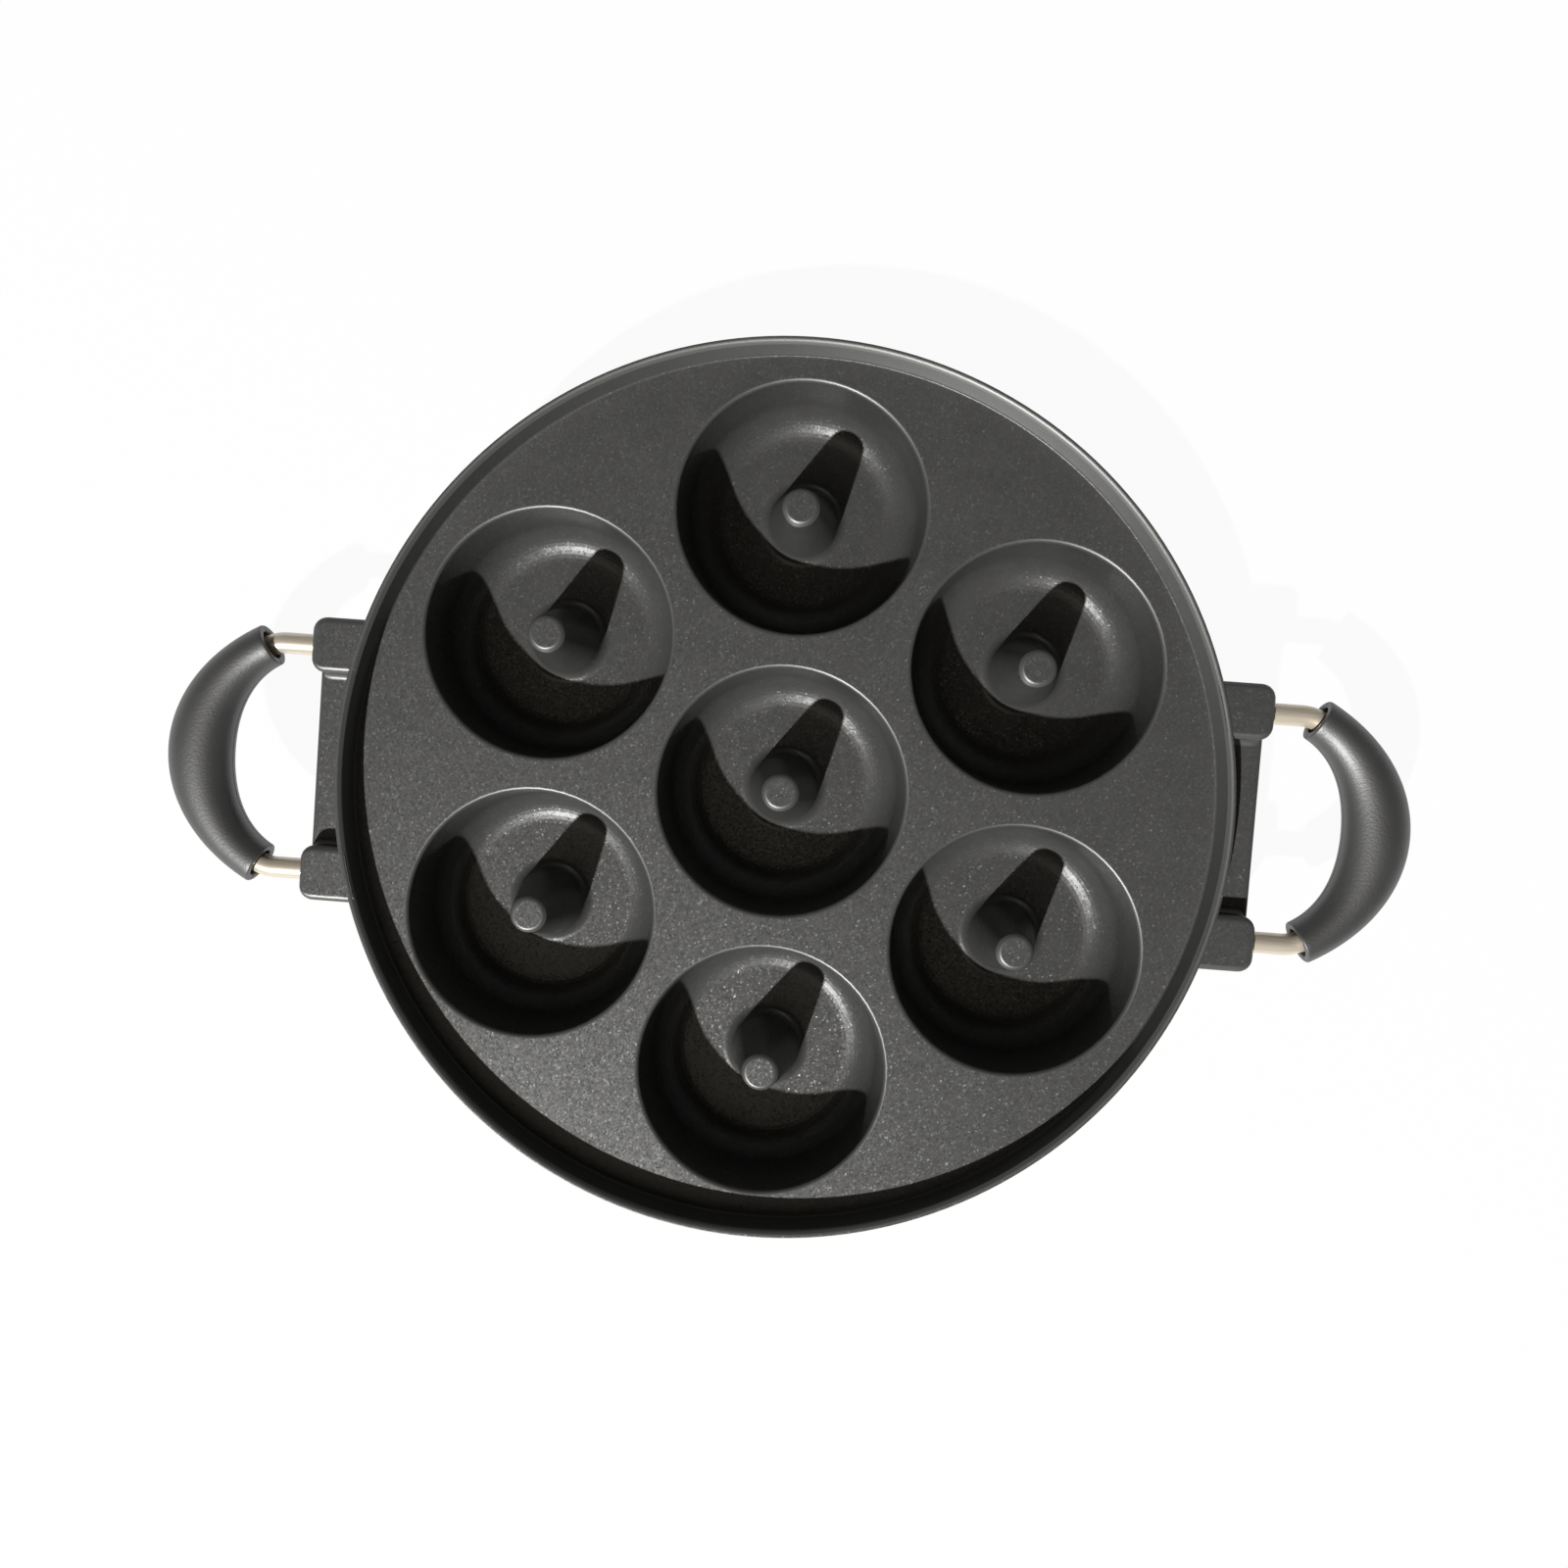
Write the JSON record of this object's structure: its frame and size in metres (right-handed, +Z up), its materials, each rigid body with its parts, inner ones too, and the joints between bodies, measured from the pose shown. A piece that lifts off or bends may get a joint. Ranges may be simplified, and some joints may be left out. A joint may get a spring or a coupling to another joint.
{
  "type": "donut pan",
  "caption": "Round cast donut pan: ring cups round tapered centre pins in a flat plate, a low rim wall, and a steel wire handle with a hollow moulded grip on each side.",
  "frame": {"origin": "under the middle cup's centre, on the surface that the pan stands on", "axes": "+Z up out of the cups, +X along the line of the two handles"},
  "size_m": [0.3498, 0.2494, 0.0406],
  "materials": {
    "coated_casting": "satin dark grey non-stick coating with fine pale flecks",
    "handle_wire": "drawn wire, bright, slightly warm",
    "grip_plastic": "satin moulded plastic",
    "fastener_steel": "zinc plated"
  },
  "bodies": {
    "root": {"pan_body": "coated_casting", "right_handle_wire": "handle_wire", "right_grip_upper_shell": "grip_plastic", "right_grip_lower_shell": "grip_plastic", "right_front_wire_pin": "fastener_steel", "right_rear_wire_pin": "fastener_steel", "right_front_grip_screw": "fastener_steel", "right_rear_grip_screw": "fastener_steel", "left_handle_wire": "handle_wire", "left_grip_upper_shell": "grip_plastic", "left_grip_lower_shell": "grip_plastic", "left_front_wire_pin": "fastener_steel", "left_rear_wire_pin": "fastener_steel", "left_front_grip_screw": "fastener_steel", "left_rear_grip_screw": "fastener_steel"}
  },
  "joints": []
}
